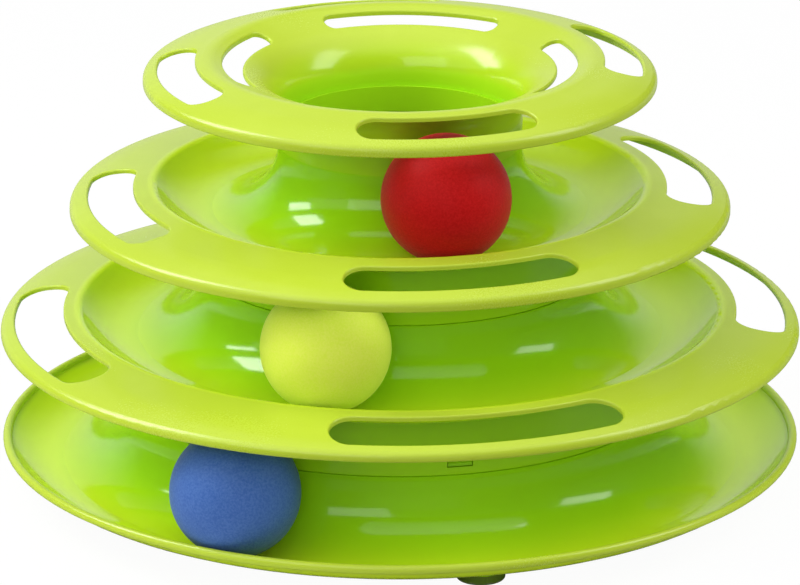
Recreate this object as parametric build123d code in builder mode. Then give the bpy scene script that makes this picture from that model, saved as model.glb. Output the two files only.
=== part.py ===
from build123d import *
from math import asin, cos, degrees, radians, sin
import os

# Ball track toy for cats: a tower of four snapped mouldings, three captive balls and four non-slip feet.
# Millimetres, +Z up. The origin is on the ground, on the tower's axis.
# Slots are centred on the X and Y axes, and -Y is the front. The snaps of the middle joint stand between them.

# Wall of the mouldings, and the balls
wall = 1.4
ball_diameter = 39.8
ball_wall = 1.2
ball_floor_gap = 0.3
ball_side_gap = 0.6
lower_ball_bearing = -130.2
middle_ball_bearing = -118.1
upper_ball_bearing = -88.5

# Feet, and the bosses that they are fixed to
foot_diameter = 15.0
foot_height = 3.0
foot_edge_round = 0.8
boss_height = 2.4
foot_circle_radius = 98.0
foot_turn = 2.1

# Tracks: a quarter round down from the hub, then a rise to the rim on the outer side
base_track_radius = 106.0
outer_relief = 3.4
base_rim_slope = 45.7
base_bead_radius = 1.4
tier_rim_slope = 45.4
crest_round = 3.0

# Hubs and the collars that stand on them
base_hub_rise = 1.4
tier_hub_rise = 0.6
collar_height = 19.0
collar_offset = 3.2
seam_bevel = 0.4

# Snap necks
neck_height = 6.8
neck_clearance = 0.2
neck_lead = 0.8
snap_width = 8.0
snap_height = 2.6
snap_rise = 2.6
snap_clearance = 0.25
snap_recess = 0.4
snap_ledge = 0.9
base_snap_turn = 0.0
middle_snap_turn = 45.0
upper_snap_turn = 0.0
notch_width = 3.0
notch_height = 1.0
notch_depth = 1.0

# Drooping rings
ring_overhang = 1.5
cap_overhang = 1.95
tier_flange_slope = 9.0
droop_radius = 40.0
droop_width = 10.0
lip_round = 2.6
middle_lip_skirt = 0.8
upper_lip_skirt = 1.4
cap_lip_skirt = 1.4
lip_edge_round = 0.6

# Slots through the rings
slot_span = 46.0
slot_corner_share = 0.47
slot_edge_round = 0.6
middle_slot_width = 15.2
middle_slot_margin = 4.5
upper_slot_width = 14.0
upper_slot_margin = 5.8
cap_slot_width = 11.7
cap_slot_margin = 4.5

# Top cap
cap_collar_rise = 8.3
funnel_radius = 15.5
funnel_slope = 20.0
shoulder_width = 10.6
cap_crest_round = 7.0
cap_flange_slope = 10.0
inner_slot_width = 6.4
inner_slot_margin = 2.4
inner_slot_span = 63.0
inner_slot_turn = -16.6

# Bearings of everything that repeats round the tower, and of the joint line of the revolved shapes
quarter_bearings = (0, 90, 180, 270)
revolve_bearing = 32.0

# Upward part of a face's normal, above which the face counts as the top of a ring
least_upward = 0.5

# Radii and heights that follow from the sizes above
trough_radius = ball_diameter / 2 + ball_side_gap
outer_radius = trough_radius + outer_relief

base_floor = foot_height + boss_height + wall
base_seam = base_floor + trough_radius + base_hub_rise
middle_floor = base_seam + collar_height
middle_seam = middle_floor + trough_radius + tier_hub_rise
upper_floor = middle_seam + collar_height
upper_seam = upper_floor + trough_radius + tier_hub_rise

base_hub_radius = base_track_radius - trough_radius
middle_track_radius = base_hub_radius - collar_offset
middle_hub_radius = middle_track_radius - trough_radius
upper_track_radius = middle_hub_radius - collar_offset
upper_hub_radius = upper_track_radius - trough_radius

tier_rim_reach = (outer_radius + crest_round) * sin(radians(tier_rim_slope))
base_rim_reach = (outer_radius + wall / 2) * sin(radians(base_rim_slope))
middle_ring_radius = base_track_radius + base_rim_reach + ring_overhang
upper_ring_radius = middle_track_radius + tier_rim_reach + ring_overhang
cap_ring_radius = upper_track_radius + tier_rim_reach + cap_overhang


def radial_plane(bearing):
    """Upright plane through the tower's axis, whose x axis points outwards at a bearing in degrees."""
    outwards = Vector(1, 0, 0).rotate(Axis.Z, bearing)
    return Plane(origin=(0, 0, 0), x_dir=outwards, z_dir=outwards.rotate(Axis.Z, -90))


def track_lines(track_radius, floor, seam, rim_slope):
    """Top surface of a hub wall and its track, drawn from the seam down and out to the rim."""
    hub_radius = track_radius - trough_radius
    hub_side = Line((hub_radius, seam), (hub_radius, floor + trough_radius))
    inner_side = JernArc(hub_side @ 1, hub_side % 1, trough_radius, 90)
    return JernArc(inner_side @ 1, inner_side % 1, outer_radius, rim_slope)


def ring_lines(crest, ring_radius, slope, lip_skirt):
    """Top surface of a flange, its drooping edge and down-turned lip, drawn on from the end of a crest."""
    end_slope = degrees(asin(sin(radians(slope)) + droop_width / droop_radius))
    lip_width = lip_round * (1 - sin(radians(end_slope)))
    run = ring_radius - lip_width - droop_width - (crest @ 1).X
    flange = Line(crest @ 1, crest @ 1 + crest % 1 * (run / cos(radians(slope))))
    droop = JernArc(flange @ 1, flange % 1, droop_radius, slope - end_slope)
    lip = JernArc(droop @ 1, droop % 1, lip_round, end_slope - 90)
    Line(lip @ 1, lip @ 1 - Vector(0, lip_skirt))


def neck_section(hub_radius, seam):
    """Shoulder at the top of a hub, and the neck that stands on it inside the next collar."""
    outside = hub_radius - wall - neck_clearance
    inside = outside - wall
    top = seam + neck_height
    with BuildSketch() as section:
        with BuildLine():
            Polyline(
                (inside, seam - wall),
                (inside, top),
                (outside - neck_lead, top),
                (outside, top - neck_lead),
                (outside, seam),
                (hub_radius, seam),
                (hub_radius, seam - wall),
                close=True,
            )
        make_face()
    return section.sketch


def collar_section(hub_radius, seam, top):
    """Collar that stands on the hub below, bevelled where the two meet."""
    with BuildSketch() as section:
        with BuildLine():
            Polyline(
                (hub_radius - wall, top),
                (hub_radius - wall, seam),
                (hub_radius - seam_bevel, seam),
                (hub_radius, seam + seam_bevel),
                (hub_radius, top),
                close=True,
            )
        make_face()
    return section.sketch


def ring_slots(inner_radius, outer_radius, span, turn, bottom, top):
    """Four curved slots of a ring, cut straight down, with ends that are almost full rounds."""
    corner = slot_corner_share * (outer_radius - inner_radius)
    with BuildPart() as slots:
        with BuildSketch(Plane.XY.offset(bottom)) as outlines:
            for bearing in quarter_bearings:
                start = bearing + turn - span / 2
                with BuildLine():
                    outer_edge = CenterArc((0, 0), outer_radius, start, span)
                    inner_edge = CenterArc((0, 0), inner_radius, start, span)
                    Line(inner_edge @ 0, outer_edge @ 0)
                    Line(inner_edge @ 1, outer_edge @ 1)
                make_face()
            fillet(outlines.vertices(), corner)
        extrude(amount=top - bottom)
    return slots.part


def upper_slot_edges(cut_faces):
    """The edges where the upright walls of newly cut slots meet the top of their ring."""
    walls = cut_faces.filter_by(lambda face: abs(face.normal_at().Z) < least_upward)
    tops = cut_faces.filter_by(lambda face: face.normal_at().Z > least_upward)
    top_edges = tops.edges()
    return ShapeList(edge for edge in walls.edges() if edge in top_edges)


def snap_tabs(hub_radius, seam, turn):
    """Ramped tabs on the outside of a neck, which lock in the windows of the next collar."""
    root = hub_radius - wall - neck_clearance - wall / 2
    tip = hub_radius - snap_recess
    bottom = seam + snap_rise + snap_clearance
    top = seam + snap_rise + snap_height - snap_clearance
    with BuildPart() as tabs:
        for bearing in quarter_bearings:
            with BuildSketch(radial_plane(bearing + turn)):
                with BuildLine():
                    Polyline(
                        (root, bottom), (tip, bottom), (tip, bottom + snap_ledge), (root, top), close=True
                    )
                make_face()
            extrude(amount=snap_width / 2 - snap_clearance, both=True)
    return tabs.part


def snap_windows(hub_radius, seam, turn):
    """Windows in a collar for the tabs of the neck inside it."""
    with BuildPart() as windows:
        with BuildSketch(Plane.XY.offset(seam + snap_rise)):
            with PolarLocations(hub_radius - wall / 2, len(quarter_bearings), turn):
                Rectangle(2 * wall, snap_width)
        extrude(amount=snap_height)
    return windows.part


def seam_notches(hub_radius, seam, turn):
    """Small pointed notches in the top edge of a hub, one under each window."""
    with BuildPart() as notches:
        for bearing in quarter_bearings:
            outwards = Vector(1, 0, 0).rotate(Axis.Z, bearing + turn)
            with BuildSketch(Plane(origin=outwards * hub_radius + Vector(0, 0, seam), z_dir=outwards)):
                with BuildLine():
                    Polyline((-notch_width / 2, 0), (notch_width / 2, 0), (0, -notch_height), close=True)
                make_face()
            extrude(amount=notch_depth, both=True)
    return notches.part


os.makedirs("parts", exist_ok=True)

# Base tray: bosses for the feet, then the track with its beaded rim, hub and neck
with BuildPart() as base_tray:
    with BuildSketch(Plane.XY.offset(foot_height)):
        with PolarLocations(foot_circle_radius, len(quarter_bearings), foot_turn):
            Circle(foot_diameter / 2)
    extrude(amount=trough_radius)
    with BuildSketch(radial_plane(revolve_bearing)):
        with BuildLine():
            rim = track_lines(base_track_radius, base_floor, base_seam, base_rim_slope)
            Polyline(rim @ 1, ((rim @ 1).X, base_seam), (base_hub_radius, base_seam))
        make_face()
    revolve(axis=Axis.Z, mode=Mode.SUBTRACT)
    with BuildSketch(radial_plane(revolve_bearing)):
        with BuildLine():
            rim = track_lines(base_track_radius, base_floor, base_seam, base_rim_slope)
            offset(amount=wall, side=Side.RIGHT)
        make_face()
        add(neck_section(base_hub_radius, base_seam))
        with Locations(rim @ 1 + (rim % 1).rotate(Axis.Z, -90) * (wall / 2)):
            Circle(base_bead_radius)
    revolve(axis=Axis.Z)
    add(snap_tabs(base_hub_radius, base_seam, base_snap_turn))
    add(seam_notches(base_hub_radius, base_seam, base_snap_turn), mode=Mode.SUBTRACT)
base_tray.part.label = "base_tray"
export_step(base_tray.part, "parts/base_tray.step")

# Middle and upper tiers: a collar on the hub below, a track with its hub and neck, and a slotted ring
tiers = {
    "middle_tier": (
        base_hub_radius, base_seam, base_snap_turn, middle_track_radius, middle_floor, middle_seam,
        middle_snap_turn, middle_ring_radius, middle_lip_skirt, middle_slot_width, middle_slot_margin,
    ),
    "upper_tier": (
        middle_hub_radius, middle_seam, middle_snap_turn, upper_track_radius, upper_floor, upper_seam,
        upper_snap_turn, upper_ring_radius, upper_lip_skirt, upper_slot_width, upper_slot_margin,
    ),
}
for name, sizes in tiers.items():
    collar_radius, collar_seam, collar_turn, track_radius, floor, seam = sizes[:6]
    neck_turn, ring_radius, lip_skirt, slot_width, slot_margin = sizes[6:]
    hub_radius = track_radius - trough_radius
    with BuildPart() as tier:
        with BuildSketch(radial_plane(revolve_bearing)) as section:
            with BuildLine():
                rim = track_lines(track_radius, floor, seam, tier_rim_slope)
                crest = JernArc(rim @ 1, rim % 1, crest_round, -tier_rim_slope - tier_flange_slope)
                ring_lines(crest, ring_radius, tier_flange_slope, lip_skirt)
                offset(amount=wall, side=Side.RIGHT)
            make_face()
            lip_edge = section.vertices().group_by(Axis.X)[-1].sort_by(Axis.Y)[0]
            fillet(lip_edge, lip_edge_round)
            add(neck_section(hub_radius, seam))
            add(collar_section(collar_radius, collar_seam, floor - wall / 2))
        revolve(axis=Axis.Z)
        slot_outside = ring_radius - slot_margin
        slots = ring_slots(slot_outside - slot_width, slot_outside, slot_span, 0, collar_seam, seam)
        add(slots, mode=Mode.SUBTRACT)
        fillet(upper_slot_edges(tier.faces(Select.LAST)), slot_edge_round)
        add(snap_tabs(hub_radius, seam, neck_turn))
        add(seam_notches(hub_radius, seam, neck_turn), mode=Mode.SUBTRACT)
        add(snap_windows(collar_radius, collar_seam, collar_turn), mode=Mode.SUBTRACT)
    tier.part.label = name
    export_step(tier.part, f"parts/{name}.step")

# Top cap: a collar on the upper hub that opens into a funnel, a shoulder with four slots, and a slotted ring
with BuildPart() as top_cap:
    with BuildSketch(radial_plane(revolve_bearing)) as section:
        with BuildLine():
            throat = upper_hub_radius - wall
            collar = Line((throat, upper_seam), (throat, upper_seam + cap_collar_rise))
            funnel = JernArc(collar @ 1, collar % 1, funnel_radius, funnel_slope - 90)
            shoulder_length = shoulder_width / cos(radians(funnel_slope))
            shoulder = Line(funnel @ 1, funnel @ 1 + funnel % 1 * shoulder_length)
            crest = JernArc(shoulder @ 1, shoulder % 1, cap_crest_round, -funnel_slope - cap_flange_slope)
            ring_lines(crest, cap_ring_radius, cap_flange_slope, cap_lip_skirt)
            offset(amount=wall, side=Side.RIGHT)
        make_face()
        lip_edge = section.vertices().group_by(Axis.X)[-1].sort_by(Axis.Y)[0]
        fillet(lip_edge, lip_edge_round)
    revolve(axis=Axis.Z)
    slot_outside = cap_ring_radius - cap_slot_margin
    cap_top = (crest @ 0).Y + cap_crest_round
    slots = ring_slots(slot_outside - cap_slot_width, slot_outside, slot_span, 0, upper_seam, cap_top)
    add(slots, mode=Mode.SUBTRACT)
    fillet(upper_slot_edges(top_cap.faces(Select.LAST)), slot_edge_round)
    inner_outside = (shoulder @ 1).X - inner_slot_margin
    inner_inside = inner_outside - inner_slot_width
    inner_bottom = upper_seam + cap_collar_rise
    slots = ring_slots(inner_inside, inner_outside, inner_slot_span, inner_slot_turn, inner_bottom, cap_top)
    add(slots, mode=Mode.SUBTRACT)
    fillet(upper_slot_edges(top_cap.faces(Select.LAST)), slot_edge_round)
    add(snap_windows(upper_hub_radius, upper_seam, upper_snap_turn), mode=Mode.SUBTRACT)
top_cap.part.label = "top_cap"
export_step(top_cap.part, "parts/top_cap.step")

# Balls: hollow shells, each resting in its own track
balls = {
    "lower_ball": (base_track_radius, base_floor, lower_ball_bearing),
    "middle_ball": (middle_track_radius, middle_floor, middle_ball_bearing),
    "upper_ball": (upper_track_radius, upper_floor, upper_ball_bearing),
}
for name, (track_radius, floor, bearing) in balls.items():
    centre = Vector(track_radius, 0, floor + ball_floor_gap + ball_diameter / 2).rotate(Axis.Z, bearing)
    with BuildPart(Plane(origin=centre)) as ball:
        Sphere(ball_diameter / 2)
        Sphere(ball_diameter / 2 - ball_wall, mode=Mode.SUBTRACT)
    ball.part.label = name
    export_step(ball.part, f"parts/{name}.step")

# Feet: round rubber pads on the bosses of the base tray
feet = {"foot_front": -90, "foot_right": 0, "foot_back": 90, "foot_left": 180}
for name, bearing in feet.items():
    place = Vector(foot_circle_radius, 0, 0).rotate(Axis.Z, bearing + foot_turn)
    with BuildPart() as foot:
        with BuildSketch(Plane(origin=place)):
            Circle(foot_diameter / 2)
        extrude(amount=foot_height)
        fillet(foot.edges().group_by(Axis.Z)[0], foot_edge_round)
    foot.part.label = name
    export_step(foot.part, f"parts/{name}.step")
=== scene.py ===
import bpy
import math
import numpy as np
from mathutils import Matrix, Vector

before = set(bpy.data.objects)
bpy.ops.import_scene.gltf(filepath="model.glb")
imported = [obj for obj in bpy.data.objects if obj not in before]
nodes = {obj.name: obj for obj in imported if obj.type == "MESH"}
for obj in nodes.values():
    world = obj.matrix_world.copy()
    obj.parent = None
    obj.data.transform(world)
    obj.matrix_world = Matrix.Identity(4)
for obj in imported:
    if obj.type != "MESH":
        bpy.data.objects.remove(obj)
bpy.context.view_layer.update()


# Feet: four round pads of soft green rubber, 15 mm across and 3 mm thick, glued to bosses under the tray.
# Their sides stay clean and the bottom edge greys where it rubs on the floor.
class Finish:
    """A socket of a finish being mixed. Sums, differences and products of two of them add Math nodes."""

    def __init__(self, tree, socket):
        self.tree = tree
        self.socket = socket

    def node(self, kind, settings, inputs, output=0):
        """Any node: its settings first, then a value or a link for each input, and one output back."""
        made = self.tree.nodes.new(kind)
        for key, value in settings.items():
            setattr(made, key, value)
        for key, value in inputs.items():
            if isinstance(value, Finish):
                self.tree.links.new(value.socket, made.inputs[key])
            else:
                made.inputs[key].default_value = value
        return Finish(self.tree, made.outputs[output])

    def math(self, operation, first, second):
        """One Math node on two values or sockets."""
        return self.node("ShaderNodeMath", {"operation": operation}, {0: first, 1: second})

    def __add__(self, other):
        return self.math("ADD", self, other)

    def __radd__(self, other):
        return self.math("ADD", other, self)

    def __sub__(self, other):
        return self.math("SUBTRACT", self, other)

    def __rsub__(self, other):
        return self.math("SUBTRACT", other, self)

    def __mul__(self, other):
        return self.math("MULTIPLY", self, other)

    def __rmul__(self, other):
        return self.math("MULTIPLY", other, self)

    def along(self, axis):
        """The X, Y or Z of these coordinates."""
        return self.node("ShaderNodeSeparateXYZ", {}, {0: self}, axis)

    def step(self, low, high):
        """0 below low, 1 above high, and a smooth S between them."""
        ends = {"Value": self, "From Min": low, "From Max": high}
        return self.node("ShaderNodeMapRange", {"interpolation_type": "SMOOTHSTEP"}, ends)

    def tint(self, first, second):
        """The first colour where this value is 0 and the second where it is 1."""
        blend = {0: self, 6: first, 7: second}
        return self.node("ShaderNodeMix", {"data_type": "RGBA"}, blend, 2)

    def grain(self, scale, detail, rough=0.5):
        """Noise on these coordinates, from 0 to 1, with about scale bumps to the metre."""
        noise = {"Vector": self, "Scale": scale, "Detail": detail, "Roughness": rough}
        return self.node("ShaderNodeTexNoise", {}, noise)

    def bump(self, height, distance, strength=1.0):
        """A normal tilted by the slopes of height, where a height of 1 stands for distance in metres."""
        return self.node("ShaderNodeBump", {}, {"Height": height, "Distance": distance, "Strength": strength})


def finish_of(name):
    """A new material, the coordinates of its piece in metres, and the shader to feed."""
    material = bpy.data.materials.new(name)
    material.use_nodes = True
    shader = material.node_tree.nodes["Principled BSDF"]
    start = Finish(material.node_tree, None)
    place = start.node("ShaderNodeTexCoord", {}, {}, "Object")
    return material, place, shader


def feed(shader, **inputs):
    """Links into the shader's named inputs, with underscores for spaces."""
    for key, value in inputs.items():
        value.tree.links.new(value.socket, shader.inputs[key.replace("_", " ")])


foot_rubber, place, shader = finish_of("foot_rubber")
rub_full, rub_end = 0.0003, 0.0012
rub_grey = (0.23, 0.24, 0.16, 1)
scuffs = place.grain(scale=420, detail=4)
worn = (1 - place.along("Z").step(rub_full, rub_end)) * scuffs.step(0.3, 0.7)
rubber = scuffs.tint((0.115, 0.190, 0.012, 1), (0.150, 0.235, 0.018, 1))
feed(
    shader,
    Base_Color=worn.tint(rubber, rub_grey),
    Roughness=0.55 + 0.2 * scuffs,
    Normal=place.bump(place.grain(scale=2600, detail=3), distance=0.00006),
)
for name in ("foot_front", "foot_right", "foot_back", "foot_left"):
    nodes[name].material_slots[0].material = foot_rubber


# Base tray: one injection moulding in glossy lime plastic, 250 mm across with 1.4 mm walls.
# A beaded rim closes the widest track, and the open hub carries the neck that the next tier snaps on.
def lime_plastic(name, floor, bore, hub, rim, crest, blend=0.0015):
    """Glossy lime plastic, by the height of the floor and the radii of the piece in metres.

    Painted shade: the hub and everything below the floor get a deep green that stands in for the shade and
    the green bounce light there, and the green brightens up the track as far as the rim. A painted lighter
    green inside the bore stands in for its lit inner wall. Outside the crest the ring has a fine satin top
    with faint pale patches, and blend is half the width of that change.
    """
    bore_edge, floor_edge, painted_under_floor_light, patch_share = 0.0008, 0.0015, 0.2, 0.12
    # Painted light: a lighter green for the lit inner wall of the bore.
    painted_bore_light_green = (0.420, 0.780, 0.012, 1)
    patch_green = (0.56, 0.69, 0.08, 1)
    material, place, shader = finish_of(name)
    flat = place.node("ShaderNodeVectorMath", {"operation": "MULTIPLY"}, {0: place, 1: (1, 1, 0)})
    radius = place.node("ShaderNodeVectorMath", {"operation": "LENGTH"}, {0: flat}, "Value")
    ring = radius.step(crest - blend, crest + blend)
    inside = 1 - radius.step(bore, bore + bore_edge)
    above = place.along("Z").step(floor - floor_edge, floor)
    # Painted shade: the share of lit green falls towards the hub and below the floor, where the shade falls.
    painted_light_share = radius.step(hub, rim) * (painted_under_floor_light + (1 - painted_under_floor_light) * above)
    flow = place.grain(scale=16, detail=2)
    grain = place.grain(scale=1900, detail=2)
    patches = place.grain(scale=70, detail=3).step(0.48, 0.78) * ring
    # Painted shade and painted light: a deep green for the shaded hub and undersides, a bright one for the
    # lit track.
    painted_shade_green = flow.tint((0.285, 0.610, 0.005, 1), (0.305, 0.630, 0.007, 1))
    painted_lit_green = flow.tint((0.620, 0.820, 0.014, 1), (0.645, 0.840, 0.020, 1))
    satin = grain.step(0.30, 0.80).tint((0.452, 0.590, 0.031, 1), (0.464, 0.600, 0.036, 1))
    wall = inside.tint(painted_light_share.tint(painted_shade_green, painted_lit_green), painted_bore_light_green)
    green = ring.tint(wall, satin)
    feed(
        shader,
        Base_Color=(patches * patch_share).tint(green, patch_green),
        Roughness=0.08 + 0.05 * flow + ring * (0.15 + 0.02 * grain),
        Normal=place.bump(flow * 0.6 + ring * grain * 0.002, distance=0.0006, strength=0.5),
    )
    return material


def track_plastic(name, floor, run, crest):
    """Lime plastic of a moulding with a track, by the floor's height and two radii in metres: the circle that
    the ball's middle runs on, and the crest outside it."""
    run_to_bore, run_to_hub, rim_to_crest = 0.0218, 0.0180, 0.0100
    return lime_plastic(name, floor, run - run_to_bore, run - run_to_hub, crest - rim_to_crest, crest)


base_lime = track_plastic("base_lime", floor=0.0068, run=0.1060, crest=0.1220)
nodes["base_tray"].material_slots[0].material = base_lime


# Balls: hollow blown balls of 39.8 mm with a fine matte grain, loose in their tracks.
# The lowest is blue, the middle one yellow-green and the highest red.
def ball_skin(name, colour, pale):
    """Matte coloured plastic with a fine grain that catches the light, and faint paler rubs."""
    rub_share = 0.12
    material, place, shader = finish_of(name)
    grain = place.grain(scale=1500, detail=3, rough=0.6)
    rubs = place.grain(scale=140, detail=4, rough=0.6)
    speckled = grain.step(0.28, 0.72).tint(colour, pale)
    feed(
        shader,
        Base_Color=(rubs.step(0.60, 0.80) * rub_share).tint(speckled, pale),
        Roughness=0.42 + 0.16 * rubs,
        Normal=place.bump(grain, distance=0.00020, strength=0.4),
    )
    shader.inputs["Specular IOR Level"].default_value = 0.10
    shader.inputs["Sheen Weight"].default_value = 0.05
    return material


skins = {
    "lower_ball": ((0.042, 0.115, 0.375, 1), (0.074, 0.165, 0.445, 1)),
    "middle_ball": ((0.730, 0.890, 0.065, 1), (0.790, 0.910, 0.110, 1)),
    "upper_ball": ((0.440, 0.003, 0.003, 1), (0.540, 0.008, 0.008, 1)),
}
for name, (colour, pale) in skins.items():
    nodes[name].material_slots[0].material = ball_skin(name + "_skin", colour, pale)


# Middle and upper tiers: two lime mouldings of one kind, a track inside and a drooping slotted ring outside.
# Each stands on the hub below it by a collar, locked by four snap tabs. The ring begins at the track's crest.
tiers = {
    "middle_tier": {"floor": 0.0477, "run": 0.0823, "crest": 0.1015},
    "upper_tier": {"floor": 0.0878, "run": 0.0586, "crest": 0.0778},
}
for name, span in tiers.items():
    nodes[name].material_slots[0].material = track_plastic(name.replace("tier", "lime"), **span)


# Top cap: the last lime moulding, a collar that opens into a funnel with four inner slots and a slotted ring.
# It snaps on the highest neck and keeps the highest ball in. Its finish takes the top of the collar as the
# floor, so the collar under the ring gets the painted shade, and the satin of the ring fades down the funnel.
cap_lime = lime_plastic("cap_lime", floor=0.117, bore=0.0368, hub=0.010, rim=0.064, crest=0.0395, blend=0.004)
nodes["top_cap"].material_slots[0].material = cap_lime


# Studio: a white sheet from under the toy to the white wall behind it, a dark cloth in front and a dim room.
# Soft boxes stand at the right, left and front, with a broad bank at the left. The fills light the low walls
# and don't show in the gloss, and the sheet is dim there too.
def ray_kinds(finish):
    """Three sockets that are 1 for camera, glossy and transmitted rays in turn, and 0 for the others."""
    kinds = ("Is Camera Ray", "Is Glossy Ray", "Is Transmission Ray")
    return [finish.node("ShaderNodeLightPath", {}, {}, kind) for kind in kinds]


floor_size = 6.0
corners = np.array([[-1, -1, 0], [1, -1, 0], [1, 1, 0], [-1, 1, 0]]) * (floor_size / 2)
sheet = bpy.data.meshes.new("floor")
sheet.from_pydata(corners.tolist(), [], [(0, 1, 2, 3)])
floor = bpy.data.objects.new("floor", sheet)
bpy.context.scene.collection.objects.link(floor)

white_sheet, place, shader = finish_of("white_sheet")
sheet.materials.append(white_sheet)
shader.inputs["Roughness"].default_value = 0.9
shader.inputs["Specular IOR Level"].default_value = 0.1
cloth_edge, sheet_edge = -0.17, -0.12
glow_start, glow_full = 0.15, 0.5
gloss_dimming, camera_glow, mirror_glow = 0.85, 0.96, 0.5
cloth = (0.10, 0.10, 0.10, 1)
paper = place.grain(scale=60, detail=3).tint((0.84, 0.84, 0.84, 1), (0.88, 0.88, 0.88, 1))
depth = place.along("Y")
seen, glossy, through = ray_kinds(place)
white = depth.step(cloth_edge, sheet_edge) * (1 - gloss_dimming * glossy)
feed(shader, Base_Color=white.tint(cloth, paper))
lit = Finish(place.tree, shader.outputs[0])
glow = place.node("ShaderNodeEmission", {}, {"Color": (1, 1, 1, 1), "Strength": 1.0})
# The camera sees the sheet as white, with a trace of the lit sheet left for the toy's shadow.
behind = (glossy + through) * depth.step(glow_start, glow_full)
glowing = seen * camera_glow + behind * mirror_glow
shown = place.node("ShaderNodeMixShader", {}, {0: glowing, 1: lit, 2: glow})
place.tree.links.new(shown.socket, place.tree.nodes["Material Output"].inputs[0])

room = bpy.data.worlds.new("room")
bpy.context.scene.world = room
room.use_nodes = True
towards = Finish(room.node_tree, None).node("ShaderNodeTexCoord", {}, {}, "Generated")
seen, glossy, through = ray_kinds(towards)
# The wall behind and the ceiling glow in the dim room, and the gloss shows a narrower and brighter wall.
dim, wall_glow, ceiling_glow = 0.06, 0.48, 1.10
wall = towards.along("Y").step(0.55 + 0.15 * glossy, 0.98) * (wall_glow + 0.12 * glossy)
ceiling = (ceiling_glow - 0.10 * glossy) * towards.along("Z").step(0.55, 0.95)
strength = towards.math("MAXIMUM", dim + wall + ceiling, seen + through)
backdrop = room.node_tree.nodes["Background"]
backdrop.inputs["Color"].default_value = (1, 1, 1, 1)
room.node_tree.links.new(strength.socket, backdrop.inputs["Strength"])


def way_to(bearing, climb):
    """The unit vector from the toy at a bearing from its front and a climb from level, in degrees."""
    turn, tilt = math.radians(bearing), math.radians(climb)
    return Vector((math.sin(turn) * math.cos(tilt), -math.cos(turn) * math.cos(tilt), math.sin(tilt)))


# Each lamp has its bearing and climb in degrees, its distance, width and height in metres, and its watts.
middle = Vector((0, 0, 0.067))
lamps = {
    "box_right": (70, 40, 0.85, 0.34, 0.50, 2.2),
    "box_left": (-112, 43, 0.85, 0.30, 0.48, 4.2),
    "bank_left": (-80, 44, 1.00, 0.80, 0.80, 1.3),
    "box_front": (-38, 33, 0.90, 0.62, 0.36, 1.3),
    "fill_front": (-8, 13, 1.40, 1.00, 0.70, 4.7),
    "fill_left": (-75, 16, 1.20, 0.50, 0.50, 1.8),
    "fill_right": (75, 22, 1.20, 0.80, 0.60, 2.4),
}
for name, (bearing, climb, distance, width, tall, watts) in lamps.items():
    light = bpy.data.lights.new(name, "AREA")
    light.energy = watts
    light.shape = "RECTANGLE"
    light.size = width
    light.size_y = tall
    lamp = bpy.data.objects.new(name, light)
    bpy.context.scene.collection.objects.link(lamp)
    away = way_to(bearing, climb)
    lamp.location = middle + distance * away
    lamp.rotation_euler = away.to_track_quat("Z", "Y").to_euler()
    lamp.visible_camera = False
    lamp.visible_glossy = not name.startswith("fill")

view_bearing, view_climb, view_distance = -12.3, 18.41, 2.0
aim = Vector((0, 0, 0.0588))
camera = bpy.data.objects.new("camera", bpy.data.cameras.new("camera"))
bpy.context.scene.collection.objects.link(camera)
camera.location = middle + view_distance * way_to(view_bearing, view_climb)
camera.rotation_euler = (camera.location - aim).to_track_quat("Z", "Y").to_euler()
camera.data.lens = 287.6
camera.data.sensor_width = 36
bpy.context.scene.camera = camera
bpy.context.scene.view_settings.view_transform = "Standard"
